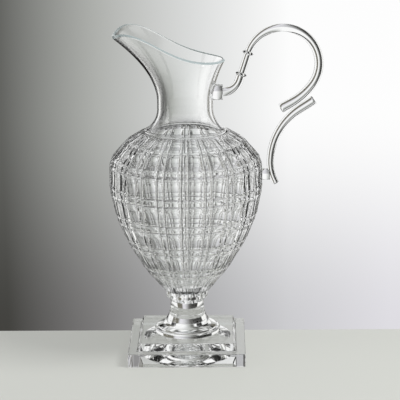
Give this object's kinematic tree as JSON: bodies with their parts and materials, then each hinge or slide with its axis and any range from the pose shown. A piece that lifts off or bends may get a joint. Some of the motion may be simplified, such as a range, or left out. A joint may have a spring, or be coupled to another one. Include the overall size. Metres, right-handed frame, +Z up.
{
  "type": "acrylic water jug",
  "caption": "Clear acrylic ewer-shaped water jug: square plinth, footed urn bowl with a moulded plaid of double ribs, flared pouring lip and a bent-rod scroll handle",
  "frame": {"origin": "Centre of the plinth's underside, in the plane that the jug stands on", "axes": "+Z up, -X towards the pouring lip, +X towards the handle, the jug is symmetrical about the XZ plane"},
  "size_m": [0.2179, 0.1566, 0.3413],
  "materials": {
    "clear_plinth": "polished clear acrylic",
    "clear_foot": "polished clear acrylic",
    "clear_bowl": "polished clear acrylic with moulded ribs",
    "clear_neck": "polished clear acrylic",
    "clear_rod": "polished clear acrylic"
  },
  "bodies": {
    "root": {"plinth": "clear_plinth", "foot_and_stem": "clear_foot", "bowl_lower": "clear_bowl", "bowl_upper": "clear_bowl", "neck_and_spout": "clear_neck", "handle_boss": "clear_rod", "handle_upper_rod": "clear_rod", "handle_lower_rod": "clear_rod", "handle_peg": "clear_rod"}
  },
  "joints": []
}
